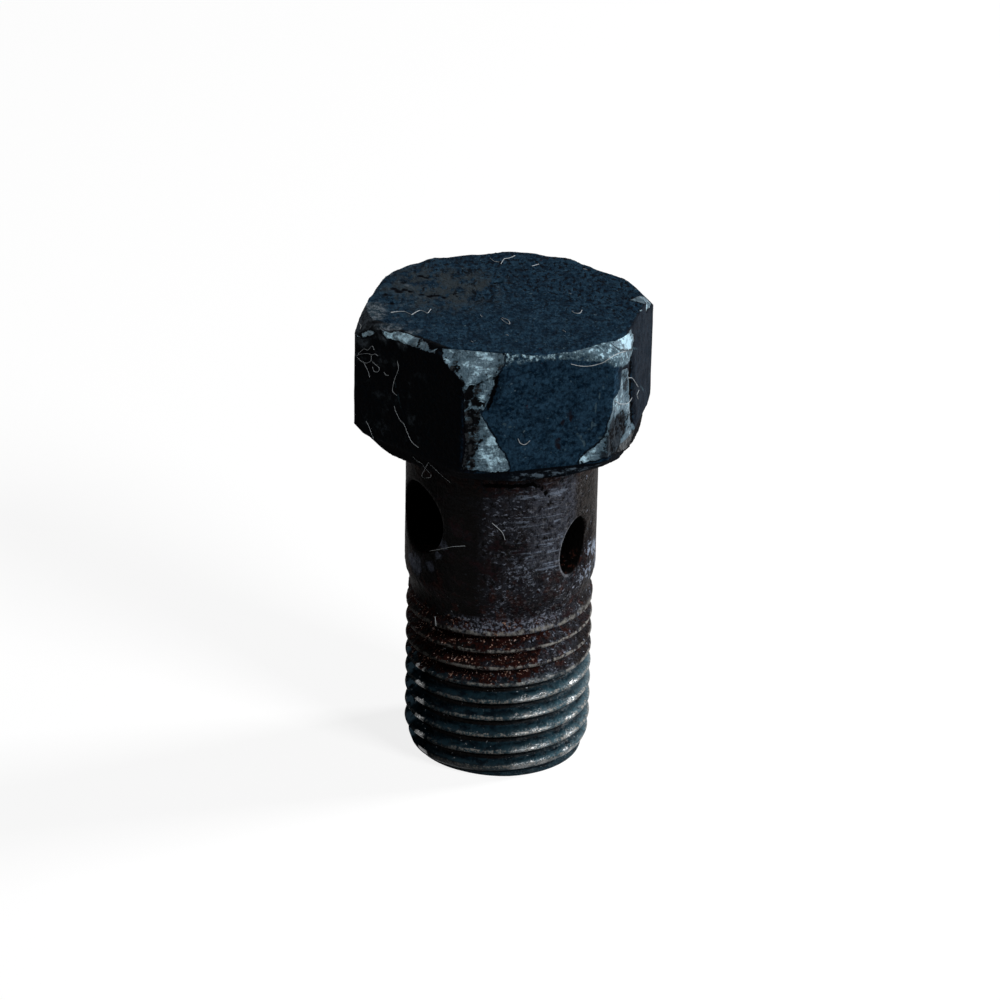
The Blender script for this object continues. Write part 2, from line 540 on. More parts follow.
def batter(bm, apothem):
    """Moves the head's points: dents and pits, paint worn through, chipped edge, cracks and a low rim below."""
    bare = bm.verts.layers.float["bare"]
    crack = bm.verts.layers.float["crack"]
    pit = bm.verts.layers.float["pit"]
    bm.normal_update()
    left_face = around(first_corner - pi / 6)
    moves = []
    for vert in bm.verts:
        place = vert.co
        if place.z < head_bottom + 0.02 and hypot(place.x, place.y) < 6.0:
            moves.append(Vector())
            continue
        height = 0.022 * grain(place, 1.6, 1) + 0.012 * grain(place, 0.6, 5)
        height -= paint_depth * smooth_share(-0.05, 0.12, vert[bare])
        if vert[bare] > -0.1:
            height += 0.05 * grain(place, 0.7, 9) + 0.035 * grain(place, 0.36, 13)
        height -= crack_depth * smooth_share(0.24, 0.08, vert[crack])
        height -= pit_depth * vert[pit] ** 0.7
        if place.z > head_top - 0.04:
            height = 0.012 * grain(place, 0.5, 3) + 0.015 * grain(place, 2.2, 4) - 0.015
            height -= top_crack_depth * smooth_share(0.2, 0.05, vert[crack]) + top_pit_depth * vert[pit]
        rim = smooth_share(head_top - 0.5, head_top - 0.1, place.z) * smooth_share(6.7, 7.1, hypot(place.x, place.y))
        height -= 0.09 * rim * max(0.0, 0.3 + grain(place, 0.9, 31))
        moves.append(vert.normal * height)
        along = unrolled(place, apothem)
        low = smooth_share(rim_top + 0.05, rim_top - 0.09, place.z) * (1 - smooth_share(6.5, 8.5, along)
                                                                       * smooth_share(16, 13, along))
        moves[-1] -= rim_depth * low * Vector((place.x, place.y, 0)).normalized()
        far, near = chipped_edge
        if far < along < near and place.z > chip_bottom:
            beyond = max(0.0, left_face.dot(place) - chip_start)
            drop = beyond * chip_slope * smooth_share(far, far + 0.5, along) * smooth_share(near, near - 0.5, along)
            moves[-1] += Vector((0, 0, min(0.0, head_top - drop - place.z)))
    shift_points(bm, moves)


# ------------------------------------------------------------------------------------------ cross holes and neck

cutter_middle, cutter_length = 4.2, 8


def cross_hole(level, turn, half_width, half_height, tilt):
    """Cutter for a cross hole, round or oval, leaning by tilt."""
    bm = bmesh.new()
    lie = (Matrix.Translation((0, 0, level)) @ Matrix.Rotation(turn, 4, "Z")
           @ Matrix.Translation((cutter_middle, 0, 0)) @ Matrix.Rotation(tilt, 4, "X")
           @ Matrix.Diagonal((1, half_width, half_height, 1)) @ Matrix.Rotation(pi / 2, 4, "Y"))
    bmesh.ops.create_cone(bm, cap_ends=True, cap_tris=False, segments=96, radius1=1, radius2=1, depth=cutter_length,
                          matrix=lie)
    bmesh.ops.recalc_face_normals(bm, faces=bm.faces)
    return bm


left_hole = {"level": 14.3, "turn": radians(-149.25), "half_width": 2.0, "half_height": 2.0, "tilt": 0.0}
right_hole = {"level": 13.12, "turn": radians(-39.5), "half_width": 1.02, "half_height": 1.62,
              "tilt": radians(-17)}
mouth_softening, smear_depth = 0.06, 0.16


def from_hole(place, hole):
    """Distance outside a hole's edge, counted round the shank, and the place across and up from its middle."""
    turn = atan2(place.y, place.x) - hole["turn"]
    turn -= 2 * pi * floor(turn / (2 * pi) + 0.5)
    across, up = turn * hypot(place.x, place.y), place.z - hole["level"]
    lean = hole["tilt"]
    across, up = across * cos(lean) + up * sin(lean), up * cos(lean) - across * sin(lean)
    share = hypot(across / hole["half_width"], up / hole["half_height"])
    return (share - 1) * (hole["half_width"] + hole["half_height"]) / 2, across, up


def roughen_shank(bm):
    """Moves the shank's and thread's points: softened hole mouths, a smeared lip, rust scale on the neck."""
    bm.normal_update()
    moves = []
    for vert in bm.verts:
        place = vert.co
        outward = Vector((place.x, place.y, 0))
        radius = outward.length
        height = 0
        if 0.3 < place.z < head_bottom and radius > 4.2:
            scale = smooth_share(7.6, 8.6, place.z) * smooth_share(11.8, 10.6, place.z)
            height = 0.035 * scale * grain(place, 0.32, 21) + 0.02 * scale * grain(place, 0.9, 22)
            height += 0.006 * grain(place, 0.35, 23)
            for hole in (left_hole, right_hole):
                away, across, up = from_hole(place, hole)
                height -= mouth_softening * smooth_share(0.14, -0.05, away)
            height -= smear_depth * smooth_share(1.05, 0.3, away) * smooth_share(0.3, 1.2, across - 0.45 * up)
        moves.append(outward.normalized() * height if radius > 0.1 else Vector())
    shift_points(bm, moves)


def closed_up(bm):
    """Merges slivers that the Booleans leave and closes what they open."""
    bmesh.ops.dissolve_degenerate(bm, edges=bm.edges, dist=0.0005)
    bmesh.ops.remove_doubles(bm, verts=bm.verts, dist=0.0008)
    bmesh.ops.triangulate(bm, faces=[face for face in bm.faces if len(face.verts) > 4])
    bmesh.ops.holes_fill(bm, edges=[edge for edge in bm.edges if edge.is_boundary], sides=0)
    bmesh.ops.delete(bm, geom=[vert for vert in bm.verts if not vert.link_faces], context="VERTS")
    bmesh.ops.recalc_face_normals(bm, faces=bm.faces)


def groove_marks(bm, sizes):
    """Stores on each point how deep it lies in the thread's groove."""
    groove = bm.verts.layers.float.new("groove")
    for vert in bm.verts:
        turn = atan2(vert.co.y, vert.co.x)
        deep = thread_cut(turn, vert.co.z, sizes.thread_pitch / mm, sizes.thread_depth / mm)
        vert[groove] = deep if vert.co.z < runout_end + 0.5 else 0.3


def worn_bolt(sizes):
    """The whole bolt as one closed skin, in metres."""
    apothem = sizes.across_flats / mm / 2
    bm = combined(head_blank(sizes), turned_end(sizes), "UNION")
    for hole in (left_hole, right_hole):
        bm = combined(bm, cross_hole(**hole), "DIFFERENCE")
    closed_up(bm)
    wear_marks(bm, apothem)
    groove_marks(bm, sizes)
    batter(bm, apothem)
    roughen_shank(bm)
    bmesh.ops.scale(bm, vec=(mm, mm, mm), verts=bm.verts)
    for face in bm.faces:
        face.smooth = True
    return bm


# ------------------------------------------------------------------------------------------ materials

class Value:
    """A number or colour that nodes work out; sums, products and the calls below add the nodes for them."""

    def __init__(self, tree, socket):
        self.tree, self.socket = tree, socket

    def calc(self, operation, first, second=0.0):
        return from_node(self.tree, "ShaderNodeMath", {0: first, 1: second}, operation=operation)

    def __add__(self, other):
        return self.calc("ADD", self, other)

    def __sub__(self, other):
        return self.calc("SUBTRACT", self, other)

    def __rsub__(self, other):
        return self.calc("SUBTRACT", other, self)

    def __mul__(self, other):
        return self.calc("MULTIPLY", self, other)

    def __pow__(self, other):
        return self.calc("POWER", self, other)

    def __or__(self, other):
        """The greater of the two."""
        return self.calc("MAXIMUM", self, other)

    def share(self, low, high):
        """How far it has gone from low to high, from 0 to 1, smoothly."""
        rising = low < high
        inputs = {"Value": self, "From Min": min(low, high), "From Max": max(low, high),
                  "To Min": 0.0 if rising else 1.0, "To Max": 1.0 if rising else 0.0}
        return from_node(self.tree, "ShaderNodeMapRange", inputs, "Result", interpolation_type="SMOOTHSTEP")

    def between(self, low, high, soft):
        """1 between the two levels, fading outside them."""
        return self.share(low - soft, low) * self.share(high + soft, high)

    def blend(self, first, second):
        """Colour going from the first to the second while this goes from 0 to 1."""
        return from_node(self.tree, "ShaderNodeMix", {0: self, 6: first, 7: second}, 2, data_type="RGBA")

    def level(self, first, second):
        """Number going from the first to the second while this goes from 0 to 1."""
        return from_node(self.tree, "ShaderNodeMix", {0: self, 2: first, 3: second}, data_type="FLOAT")


def put(tree, socket, value):
    if isinstance(value, Value):
        tree.links.new(value.socket, socket)
    elif socket.type == "RGBA":
        socket.default_value = (*value, 1)
    else:
        socket.default_value = value


def from_node(tree, kind, inputs=None, output=0, **settings):
    """What a new node with these inputs and settings gives."""
    node = tree.nodes.new(kind)
    for name, value in settings.items():
        setattr(node, name, value)
    for socket, value in (inputs or {}).items():
        put(tree, node.inputs[socket], value)
    return Value(tree, node.outputs[output])


def layered(colour_value, layers):
    """Colour under named layers, each with the share that it covers and its own colour."""
    for share, layer_colour in layers.values():
        colour_value = share.blend(colour_value, layer_colour)
    return colour_value


class Surface:
    """A material being made; its patterns are sized in millimetres."""

    def __init__(self, name):
        self.material = bpy.data.materials.new(name)
        self.material.use_nodes = True
        self.tree = self.material.node_tree
        place = from_node(self.tree, "ShaderNodeTexCoord", output="Object")
        self.place = from_node(self.tree, "ShaderNodeVectorMath", {0: place, "Scale": 1 / mm}, operation="SCALE")

    def shade(self, inputs):
        """Sets the shader's inputs by their names and gives the material."""
        for name, value in inputs.items():
            put(self.tree, self.tree.nodes["Principled BSDF"].inputs[name], value)
        return self.material

    def stored(self, name):
        """What the mesh stores on its points under this name."""
        return from_node(self.tree, "ShaderNodeAttribute", output="Fac", attribute_name=name)

    def grains(self, size, detail=2.0, roughness=0.5, stretch=(1, 1, 1), seed=0.0):
        """Noise from 0 to 1 about 0.5 with features of this size."""
        lie = {"Vector": self.place, "Location": (seed, seed * 1.7, -seed),
               "Scale": [part / size for part in stretch]}
        scaled = from_node(self.tree, "ShaderNodeMapping", lie)
        inputs = {"Vector": scaled, "Scale": 1.0, "Detail": detail, "Roughness": roughness}
        return from_node(self.tree, "ShaderNodeTexNoise", inputs, "Fac")

    def bumped(self, height, depth, below=None):
        """Normal for a height from 0 to 1 that stands for this depth in millimetres."""
        inputs = {"Height": height, "Distance": depth * mm, "Strength": 1.0}
        if below is not None:
            inputs["Normal"] = below
        return from_node(self.tree, "ShaderNodeBump", inputs, "Normal")


class BoltSurface(Surface):
    """The bolt's material, with the places and patterns that its parts share."""

    def __init__(self):
        super().__init__("worn_bolt")
        self.x, self.y, self.z = (from_node(self.tree, "ShaderNodeSeparateXYZ", {0: self.place}, axis)
                                  for axis in "XYZ")
        self.turn = self.x.calc("ARCTAN2", self.y, self.x)
        self.fine, self.small, self.medium, self.broad = (
            self.grains(size, detail, 0.6, seed=seed)
            for size, detail, seed in ((0.15, 2, 1), (0.28, 3, 2), (0.8, 3, 3), (2.4, 2, 4)))
        self.wander = (self.medium - 0.5) * 1.6
        self.edge = (self.small - 0.5) * 0.3
        self.about = self.turn + self.wander * 0.12
        self.tone, self.groove, self.crack = (self.stored(name) for name in ("tone", "groove", "crack"))
        self.on_head = self.z.share(head_bottom - 0.06, head_bottom + 0.01)
        self.off_head = 1.0 - self.on_head
        self.on_front = self.outwards(0).share(6.6, 6.8)
        self.pores = self.grains(0.25, 3, 0.7, paint_stretch, 6)
        self.crisp = self.grains(0.19, 3, 0.7, shank_stretch, 57).share(0.545, 0.64)
        self.rings = self.grains(0.3, 2, 0.6, (0.1, 0.1, 1.9), 20)
        self.streaks = self.grains(0.3, 3, 0.6, (0.5, 0.5, 1.4), 45)
        self.worn_head_parts()
        self.worn_end_parts()

    def outwards(self, turn):
        """Distance from the axis towards this turn from the hexagon's front face."""
        direction = head_turn - pi / 6 + turn
        return self.x * cos(direction) + self.y * sin(direction)

    def worn_head_parts(self):
        """Where the head is bare, rubbed, pitted and cracked, and how light (1) or dull (-1) its steel looks."""
        self.smeared = self.grains(0.55, 4, 0.62, (1, 1, 0.7), 9)
        drawn = self.grains(0.3, 4, 0.7, (0.7, 0.7, 2.6), 61)
        self.look = self.tone * 1.3 + ((self.smeared - 0.5) * 4.2 + (drawn - 0.5) * 2.6)
        self.into_pits = self.stored("pit") + self.edge * 3.5
        self.pitted = (self.grains(0.42, 3, 0.7, seed=12) + self.tone * 0.1).share(0.4, 0.33) \
            | self.into_pits.share(0.28, 0.5)
        self.into_bare = self.stored("bare") + self.edge
        self.bare = self.into_bare.share(-0.015, 0.03)
        self.rub_grain = self.grains(0.25, 4, 0.7, seed=17)
        self.rubbed = (self.stored("rubbed") + self.edge).share(-0.06, 0.1) \
            * (self.rub_grain + self.x.share(0.5, 5.5) * 0.12).share(0.42, 0.6)
        self.cracked = (self.crack + self.edge * 1.3).share(0.15, 0.08)

    def worn_end_parts(self):
        """Where the shank is split, the thread rubbed, rusty or dusted with bright bits, and the holes' insides."""
        self.split = self.off_head * (self.crack + self.edge * 0.9).share(0.14, 0.075)
        self.on_thread = (self.z + self.wander * 0.4).share(6.0, 5.5)
        self.rubbed_side = (self.turn + self.wander * 0.2).share(-1.75, -0.85) * self.turn.share(3.0, 1.4)
        self.rust_grain = self.medium * 0.5 + self.small * 0.5
        self.rusty = (self.z + self.wander * 0.5).between(5.7, 9.2, 0.5) * (
            self.rust_grain + self.groove * 0.22 - self.turn.between(-0.9, 0.6, 0.4) * 0.16).share(0.5, 0.57)
        self.bits = self.z.share(11.0, 9.5) * self.grains(0.15, 2, 0.6, seed=27).share(0.69, 0.74)
        square = self.x * self.x + self.y * self.y
        radius = square.calc("SQRT", square)
        in_cross_hole = radius.share(4.99, 4.9) * self.z.share(10.85, 10.95)
        in_bore = radius.share(2.7, 2.55) * self.z.share(0.5, 0.9)
        self.inside = self.z.share(head_bottom - 0.1, head_bottom - 0.2) * (in_cross_hole | in_bore)


# how much finer than its size the noise is along x, y and z
paint_stretch, shank_stretch = (1, 0.55, 1), (0.8, 0.8, 1.3)


def head_paint(s, colours):
    """Blue-black paint with dust in its grain, dark pores, brown dirt on the top and one face in the dark."""
    on_top = s.z.share(head_top - 0.12, head_top - 0.05)
    dusty = (s.grains(0.22, 3, 0.65, paint_stretch, 41) * 0.65 + s.medium * 0.35).share(0.36, 0.64)
    speckle = s.grains(0.17, 2, 0.6, paint_stretch, 53).share(0.5, 0.66)
    dark_back = (s.x * 0.5 + s.y + s.wander * 3.0).share(-1.5, 3.5)
    square = (s.x + 3.4) ** 2.0 + (s.y - 2.0) ** 2.0
    from_dirt = square.calc("SQRT", square) + s.wander * 2.0
    return layered(colours.paint, {
        "dust in the grain": (dusty, colours.paint_dusty),
        "speckles": (speckle * 0.6, (0.022, 0.05, 0.078)),
        "pores": (s.pores.share(0.5, 0.4) * (on_top * dark_back).level(0.55, 1.0), (0.001, 0.002, 0.004)),
        "dark clouds": (s.grains(1.1, 3, 0.6, seed=43).share(0.52, 0.4) * 0.35, (0.001, 0.003, 0.007)),
        "dirt": (on_top * from_dirt.share(4.4, 1.4) * s.grains(0.9, 5, 0.7, (1, 0.5, 1), 55).share(0.45, 0.56) * 0.75,
                 colours.dirt),
        "holes in the dirt": (
            on_top * from_dirt.share(4.6, 2.4) * s.grains(0.6, 5, 0.75, (1, 0.5, 1), 51).share(0.43, 0.38),
            (0.001, 0.002, 0.0035)),
        "pale specks": (s.grains(0.24, 1, 0.5, seed=31).share(0.73, 0.78), (0.05, 0.08, 0.1)),
        "reddish specks": (s.small.share(0.67, 0.73) * s.broad.share(0.5, 0.65), (0.03, 0.016, 0.022)),
        "right face": (s.outwards(pi / 3).share(6.86, 6.96) * 0.8,
                       s.medium.share(0.4, 0.6).blend((0.006, 0.0074, 0.0105), (0.0115, 0.0135, 0.018))),
        "left face": (s.outwards(-pi / 3).share(6.3, 6.45) * speckle.level(0.97, 0.9), (0.0009, 0.0008, 0.0009)),
        "dust on the front face": (s.on_front * dusty * speckle.level(0.25, 0.6), (0.018, 0.05, 0.092)),
        "spots on the front face": (s.on_front * (s.tone + s.edge * 5.0).share(-0.45, -1.25),
                                    (0.0065, 0.0045, 0.0065)),
        "worn left shoulder": (
            s.x.share(-3.5, -5.0) * (s.tone + s.wander * 1.2).share(0.05, 0.7),
            s.small.share(0.4, 0.6).blend(on_top.blend((0.04, 0.048, 0.055), (0.012, 0.024, 0.034)),
                                          on_top.blend((0.135, 0.165, 0.195), (0.085, 0.104, 0.122)))),
        "scratches": (s.stored("scratch").share(0.085, 0.045) * s.small.share(0.34, 0.5) * 0.6,
                      (0.05, 0.085, 0.105)),
        "pits": (s.into_pits.share(0.25, 0.5), (0.0006, 0.001, 0.002)),
    })


def worn_head(s, colours):
    """The paint, rubbed through in places, with bare steel, bright or under a brown film, at the corners."""
    dull = s.x.share(1.0, 3.0).blend(colours.steel_dull, (0.01, 0.015, 0.0205))
    steel = layered(s.look.share(-1.0, -0.35).blend(dull, colours.steel), {
        "rubbed bright": (s.look.share(0.1, 1.1), colours.steel_bright),
        "dark pits": (s.pitted, (0.0022, 0.0024, 0.003)),
    })
    flaky = s.z.share(18.96, 18.9) * s.grains(0.24, 4, 0.65, (0.6, 0.6, 1.3), 47).share(0.46, 0.62) \
        * s.on_front * s.x.share(0.2, 1.0)
    return layered(head_paint(s, colours), {
        "rubbed paint": (s.rubbed * 0.85,
                         s.rub_grain.share(0.52, 0.66).blend((0.055, 0.095, 0.12), colours.steel_bright)),
        "bare steel": (s.bare, steel),
        "shadow at the paint's edge": (s.into_bare.between(-0.07, -0.015, 0.03) * 0.75, (0.001, 0.001, 0.002)),
        "cracks": (s.cracked, (0.0005, 0.0005, 0.0008)),
        "low rim": ((s.z + s.edge * 0.4).share(rim_top + 0.03, rim_top - 0.02) * 0.93,
                    flaky.blend((0.0015, 0.0015, 0.002), (0.065, 0.09, 0.115))),
    })


def worn_shank(s, colours):
    """Dark film at the left, bright flecks in the middle, turned smooth beside them, tan towards the right."""
    film = (s.medium * 0.6 + s.small * 0.4).share(0.42, 0.6)
    clouds = s.grains(1.1, 4, 0.65, shank_stretch, 63)
    off_back = s.turn.share(3.0, 1.8)
    under_head = s.z.share(16.4, 18.0) * s.rust_grain.share(0.46, 0.58)
    over_thread = s.z.share(13.5, 10.0) * s.grains(0.7, 3, 0.6, seed=35).share(0.55, 0.65)
    return layered(film.blend(colours.shank_steel, colours.shank_brown), {
        "reddish film": (clouds.share(0.5, 0.6) * s.small.share(0.4, 0.56), (0.0085, 0.0035, 0.0044)),
        "black film": (s.turn.between(-2.82, -1.9, 0.3) * clouds.share(0.64, 0.52), (0.0016, 0.0013, 0.0012)),
        "bright flecks": (s.about.between(-1.62, -0.62, 0.22) * s.z.share(17.4, 16.4) * s.crisp.level(0.07, 1.0)
                          * clouds.share(0.58, 0.45),
                          s.fine.share(0.4, 0.6).blend((0.05, 0.056, 0.075), (0.175, 0.2, 0.255))),
        "tan side": (s.about.share(-0.92, -0.66) * off_back * s.z.share(12.4, 13.4) * 0.9,
                     (s.small * 0.7 + clouds * 0.3).share(0.4, 0.6).blend((0.005, 0.0038, 0.0034),
                                                                          (0.018, 0.0148, 0.0135))),
        "smooth part": (s.about.between(-1.2, -0.76, 0.12) * (s.z + s.wander).between(12.9, 16.9, 0.7) * 0.92,
                        s.small.share(0.36, 0.62).blend((0.013, 0.0135, 0.0185), colours.polished)),
        "turning marks": (s.rings.share(0.5, 0.6) * s.grains(0.5, 3, 0.6, (0.8, 0.8, 1.4), 22).share(0.44, 0.58)
                          * s.z.share(11.6, 12.6) * s.about.between(-1.3, -0.95, 0.22).level(0.02, 0.85),
                          (0.125, 0.15, 0.195)),
        "flakes": ((s.grains(0.26, 4, 0.68, seed=33) + s.tone * 0.24).share(0.62, 0.74)
                   * (s.turn.share(-1.9, -1.5) * off_back).level(0.12, 1.0),
                   s.turn.share(-0.65, -0.5).blend((0.12, 0.138, 0.175), (0.21, 0.25, 0.32))),
        "pale spots at the left": ((s.tone + s.edge * 2.5).share(0.25, 0.6) * s.turn.share(-2.0, -2.2),
                                   (0.15, 0.168, 0.225)),
        "dark grain": ((s.small + s.tone * 0.15).share(0.43, 0.33), (0.0015, 0.0012, 0.0015)),
        "lip at the right hole": (s.stored("mouth").between(0.02, 0.1, 0.05) * s.about.share(-0.62, -0.76) * 0.5,
                                  (0.13, 0.14, 0.16)),
        "rust": ((under_head | over_thread) * 0.7, s.fine.share(0.5, 0.7).blend(colours.rust, (0.06, 0.03, 0.024))),
        "split": (s.split, (0.0004, 0.0004, 0.0004)),
    })


def oily_thread(s, colours):
    """Oily blue-black steel, rubbed on one side, with a light streak at the left and dirt in the grooves."""
    return layered(s.streaks.share(0.36, 0.6).blend((0.0016, 0.0042, 0.007), colours.thread_steel), {
        "rubbed side": (s.groove.share(0.44, 0.16) * s.rubbed_side * s.small.share(0.38, 0.58).level(0.4, 1.0),
                        (0.026, 0.06, 0.078)),
        "left streak": (s.turn.between(-3.01, -2.9, 0.12) * s.streaks.share(0.34, 0.52), (0.09, 0.17, 0.23)),
        "dirt in the grooves": (s.groove.share(0.5, 0.58) * s.rubbed_side.level(1.0, 0.45) * s.z.share(0.7, 1.1),
                                (0.0024, 0.0012, 0.001)),
    })


def rust_in_grooves(s, colours):
    """Dark rust with clusters of bright grains."""
    dark = s.small.share(0.56, 0.42).blend(colours.rust, (0.006, 0.003, 0.003))
    clustered = s.grains(0.9, 3, 0.6, (0.7, 0.7, 1.6), 69).share(0.42, 0.54)
    return (s.grains(0.13, 2, 0.6, seed=37).share(0.585, 0.665) * clustered).blend(
        dark, s.fine.share(0.48, 0.6).blend(colours.rust_bright, (0.5, 0.4, 0.37)))


def shank_and_thread(s, colours):
    """All below the head: shank and thread, the rust and rubbed crests over both, and the holes' insides."""
    aside = s.turn + 1.5
    worn_band = s.z.between(8.75, 9.3, 0.3) * aside.calc("ABSOLUTE", aside).share(0.75, 0.35) \
        * s.fine.share(0.47, 0.6).level(0.05, 1.0) * s.groove.share(0.4, 0.3)
    crest = s.z.share(9.25, 8.8) * (s.groove + (s.edge * 0.6 - s.on_thread * 0.05)).share(0.07, 0.02) \
        * s.grains(0.4, 3, 0.65, seed=25).share(0.4, 0.56)
    reddish = s.fine.share(0.6, 0.68).blend((0.02, 0.0065, 0.0045), (0.14, 0.12, 0.12))
    return layered(s.on_thread.blend(worn_shank(s, colours), oily_thread(s, colours)), {
        "worn band": (worn_band, (0.125, 0.138, 0.175)),
        "rust": (s.rusty * worn_band.level(1.0, 0.2), rust_in_grooves(s, colours)),
        "crests": (crest * s.turn.between(-2.7, -2.2, 0.42).level(1.0, 0.4),
                   (s.on_thread * s.fine.share(0.6, 0.4)).blend(colours.crest_steel, colours.crest_thread)),
        "bright bits": (s.bits, (0.2, 0.22, 0.24)),
        "insides": (s.inside, (s.small.share(0.52, 0.64) * s.z.share(12.7, 12.1)).blend((0.001, 0.0009, 0.0009),
                                                                                        reddish)),
    })


def bolt_gloss(s):
    """Metallic, roughness and specular: dull paint and film, glossier where metal shows."""
    bare_head = s.on_head * (s.bare | s.rubbed * 0.5) * (1.0 - (s.pitted | s.cracked)) \
        * s.look.share(-0.9, 0.1).level(0.15, 1.0)
    glossy = s.off_head * (1.0 - (s.rusty | s.inside | s.split))
    worn_bands = s.turn.between(-2.6, -2.52, 0.06) * (s.groove + s.edge).share(0.15, 0.06) \
        + (s.about.between(-1.34, -1.02, 0.1) | s.about.between(-0.68, -0.58, 0.08))
    sheen = glossy * s.on_thread * (s.groove + s.edge * 1.2).share(0.3, 0.12) * s.streaks.share(0.36, 0.5) \
        * worn_bands.level(s.rubbed_side * 0.12, 1.0)
    dull_left = 1.0 - s.x.share(-1.6, -3.8) * s.y.share(3.0, 1.0) * s.off_head * s.on_thread.level(0.82, 1.0)
    glints = glossy * s.crisp * s.turn.share(-1.85, -1.35) * s.turn.share(-0.3, -0.7) * s.z.share(8.4, 9.4)
    film_light = glossy * dull_left * s.on_thread.level(0.01, 0.025)
    return {
        "Metallic": bare_head * 0.15 + s.bits * 0.4,
        "Roughness": 0.8 - (bare_head * 0.3 + glossy * s.on_thread.level(0.35, 0.54) + sheen * 0.1),
        "Specular IOR Level": dull_left * 0.012 + (bare_head * 0.3 | film_light + (sheen + glints * 0.2)),
    }


def bolt_relief(s):
    """Normal of the finest relief: grain with turning marks, scale on the neck, crisp flecks and smears."""
    grain_height = s.fine * 0.5 + s.pores.share(0.36, 0.52) * 0.4
    scale = s.small * (s.off_head * s.z.share(5.4, 6.2)).level(0.06, 0.2)
    normal = None
    for height, depth in ((grain_height + s.rings * s.off_head * s.z.share(9.8, 10.6), 0.05), (scale, 1.0),
                          (s.crisp * s.off_head * s.z.share(8.8, 9.8), 0.035),
                          (s.bare * s.on_head * s.smeared, 0.3)):
        normal = s.bumped(height, depth, normal)
    return normal


def bolt_material(colours):
    """The whole bolt's material: worn painted head above, shank and thread below."""
    s = BoltSurface()
    colour_value = s.on_head.blend(shank_and_thread(s, colours), worn_head(s, colours))
    return s.shade({"Base Color": colour_value, **bolt_gloss(s), "Normal": bolt_relief(s)})


def plain_material(name, colour_value, roughness):
    s = Surface(name)
    tone = s.grains(0.6, 2).share(0.3, 0.7)
    return s.shade({"Base Color": tone.blend([0.8 * part for part in colour_value], colour_value),
                    "Roughness": roughness, "Specular IOR Level": 0.2})


# ------------------------------------------------------------------------------------------ lint

view_elevation, view_roll = radians(24.983), radians(1.223)
view_level, view_aim = 13, Vector((-0.069, 0, 14.194))
view_distance, view_focus = 250.0, 4695.2  # millimetres, and pixels of a square view as wide as view_width
view_width = 1000
fibre_lift, fibre_sway = 0.07, 0.05

# corners of each fibre's path in that view, in pixels rightwards and down
fibres = {
    "top": (
        ((490, 258), (494, 261), (499, 262)),
        ((501, 264), (504, 259), (509, 258), (515, 255.6)),
        ((532, 266), (539, 264)),
        ((391, 312.4), (397, 311.6), (404, 311.4), (409, 313.4), (412, 314.4), (416, 312), (420, 310.4),
         (424, 311.4), (427.6, 313), (431, 309)),
        ((501, 318.5), (505, 322), (509.6, 324), (508, 320), (502, 317.6)),
        ((572, 311), (575, 313), (580, 313), (582, 310)),
        ((506, 334.6), (508.5, 335.4)),
        ((471, 341), (473, 342)),
        ((563, 330), (565.5, 331.8)),
        ((583.5, 268.8), (587, 269.6)),
        ((569, 293), (571, 294)),
        ((480.4, 315), (482, 316.6)),
    ),
    "left corner and face": (
        ((359, 323), (361, 326), (360, 329)),
        ((357, 356), (360, 352), (364, 349), (368, 350), (372, 346), (374, 350)),
        ((358, 355), (362, 354), (368, 353.6), (372, 355), (375, 354), (378, 356)),
        ((357, 357), (361, 361), (366, 363), (370.6, 361), (371.4, 356)),
        ((363, 361), (365, 365), (368, 371), (369.6, 377)),
        ((372.6, 362), (376, 365), (379, 368), (378, 371.6), (374.4, 371.6), (372.4, 367)),
        ((384, 372), (386, 375), (388.6, 375.4)),
        ((397.4, 361), (398.4, 369), (394.6, 379), (392.6, 388), (393, 392), (397, 395.4)),
        ((394, 406), (396, 412), (400, 420), (404, 424.4), (407, 432), (411.6, 441.6), (418.4, 447.6)),
        ((366, 421), (369, 427), (374, 440)),
    ),
    "below the head": (
        ((413, 456.6), (417, 461), (421.6, 463.4), (425, 468), (430.6, 474.4), (430, 477.4), (424, 477.6),
         (422, 475), (425, 469), (428.4, 462.6), (431, 466)),
        ((431, 465), (440, 474), (451, 483)),
    ),
    "front and right faces": (
        ((571, 364), (580, 366), (590, 366), (602, 363), (610, 358), (617, 354), (626, 351)),
        ((518, 438.6), (520, 443), (525, 444.6), (530, 440.6)),
        ((628, 378), (632, 378), (635, 382), (638, 387)),
        ((638, 399), (637, 395), (639, 390)),
        ((615, 401), (621, 404), (628, 403), (632, 398)),
    ),
    "shank and thread": (
        ((492, 523), (500, 530), (503, 534), (505, 540)),
        ((465, 546), (454, 546.6), (446, 548), (436, 550), (430, 551)),
        ((435, 616), (436, 626)),
    ),
}
longest_step = 0.25


def view_frame():
    """Place of the camera and the directions to its right, upwards and forwards, in millimetres."""
    place = Vector((0, -cos(view_elevation), sin(view_elevation))) * view_distance + Vector((0, 0, view_level))
    forward = (view_aim - place).normalized()
    right = forward.cross(Vector((0, 0, 1))).normalized()
    up = right.cross(forward)
    side = right * cos(view_roll) + up * sin(view_roll)
    over = up * cos(view_roll) - right * sin(view_roll)
    return place, side, over, forward


def curve_through(corners, steps):
    """Smooth path through the corners."""
    points = [Vector(corner) for corner in corners]
    ends = [2 * points[0] - points[1], *points, 2 * points[-1] - points[-2]]
    path = []
    for a, b, c, d in zip(ends, ends[1:], ends[2:], ends[3:]):
        for step in range(steps):
            t = step / steps
            path.append(0.5 * (2 * b + (c - a) * t + (2 * a - 5 * b + 4 * c - d) * t * t
                               + (3 * b - a - 3 * c + d) * t ** 3))
    return path + [points[-1]]


